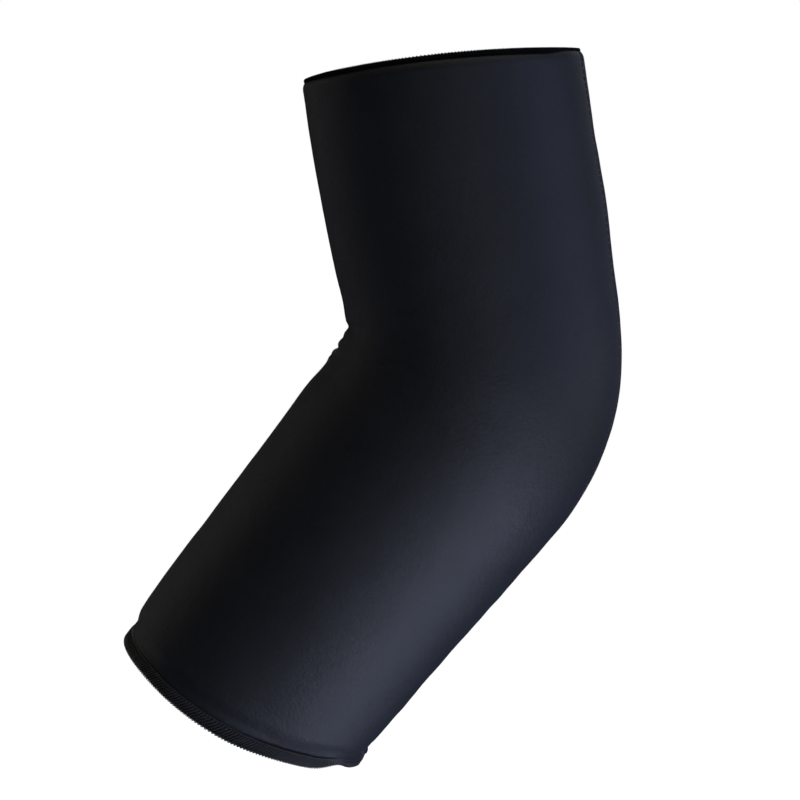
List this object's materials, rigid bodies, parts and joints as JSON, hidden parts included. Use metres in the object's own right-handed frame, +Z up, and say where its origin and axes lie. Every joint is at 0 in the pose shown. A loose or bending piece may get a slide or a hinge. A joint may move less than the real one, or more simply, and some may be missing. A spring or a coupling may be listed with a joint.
{
  "type": "elbow brace",
  "caption": "Pull-on neoprene elbow sleeve, shaped to a bent arm, with overlocked edges and a seam along the front and the back.",
  "frame": {"origin": "inside the elbow, where the axes of the upper arm and the forearm cross, on the sleeve's plane of symmetry", "axes": "+Z up as the arm is held in the picture, the upper arm leaning 9 degrees off it; the forearm goes down and towards -X, the point of the elbow faces +X, and Y is from side to side"},
  "size_m": [0.175, 0.0932, 0.2545],
  "materials": {
    "neoprene": "matt black jersey knit on neoprene foam",
    "thread": "black polyester overlock thread"
  },
  "bodies": {
    "root": {"lateral_panel": "neoprene", "medial_panel": "neoprene", "front_seam": "thread", "back_seam": "thread", "upper_edge_stitch": "thread", "lower_edge_stitch": "thread"}
  },
  "joints": []
}
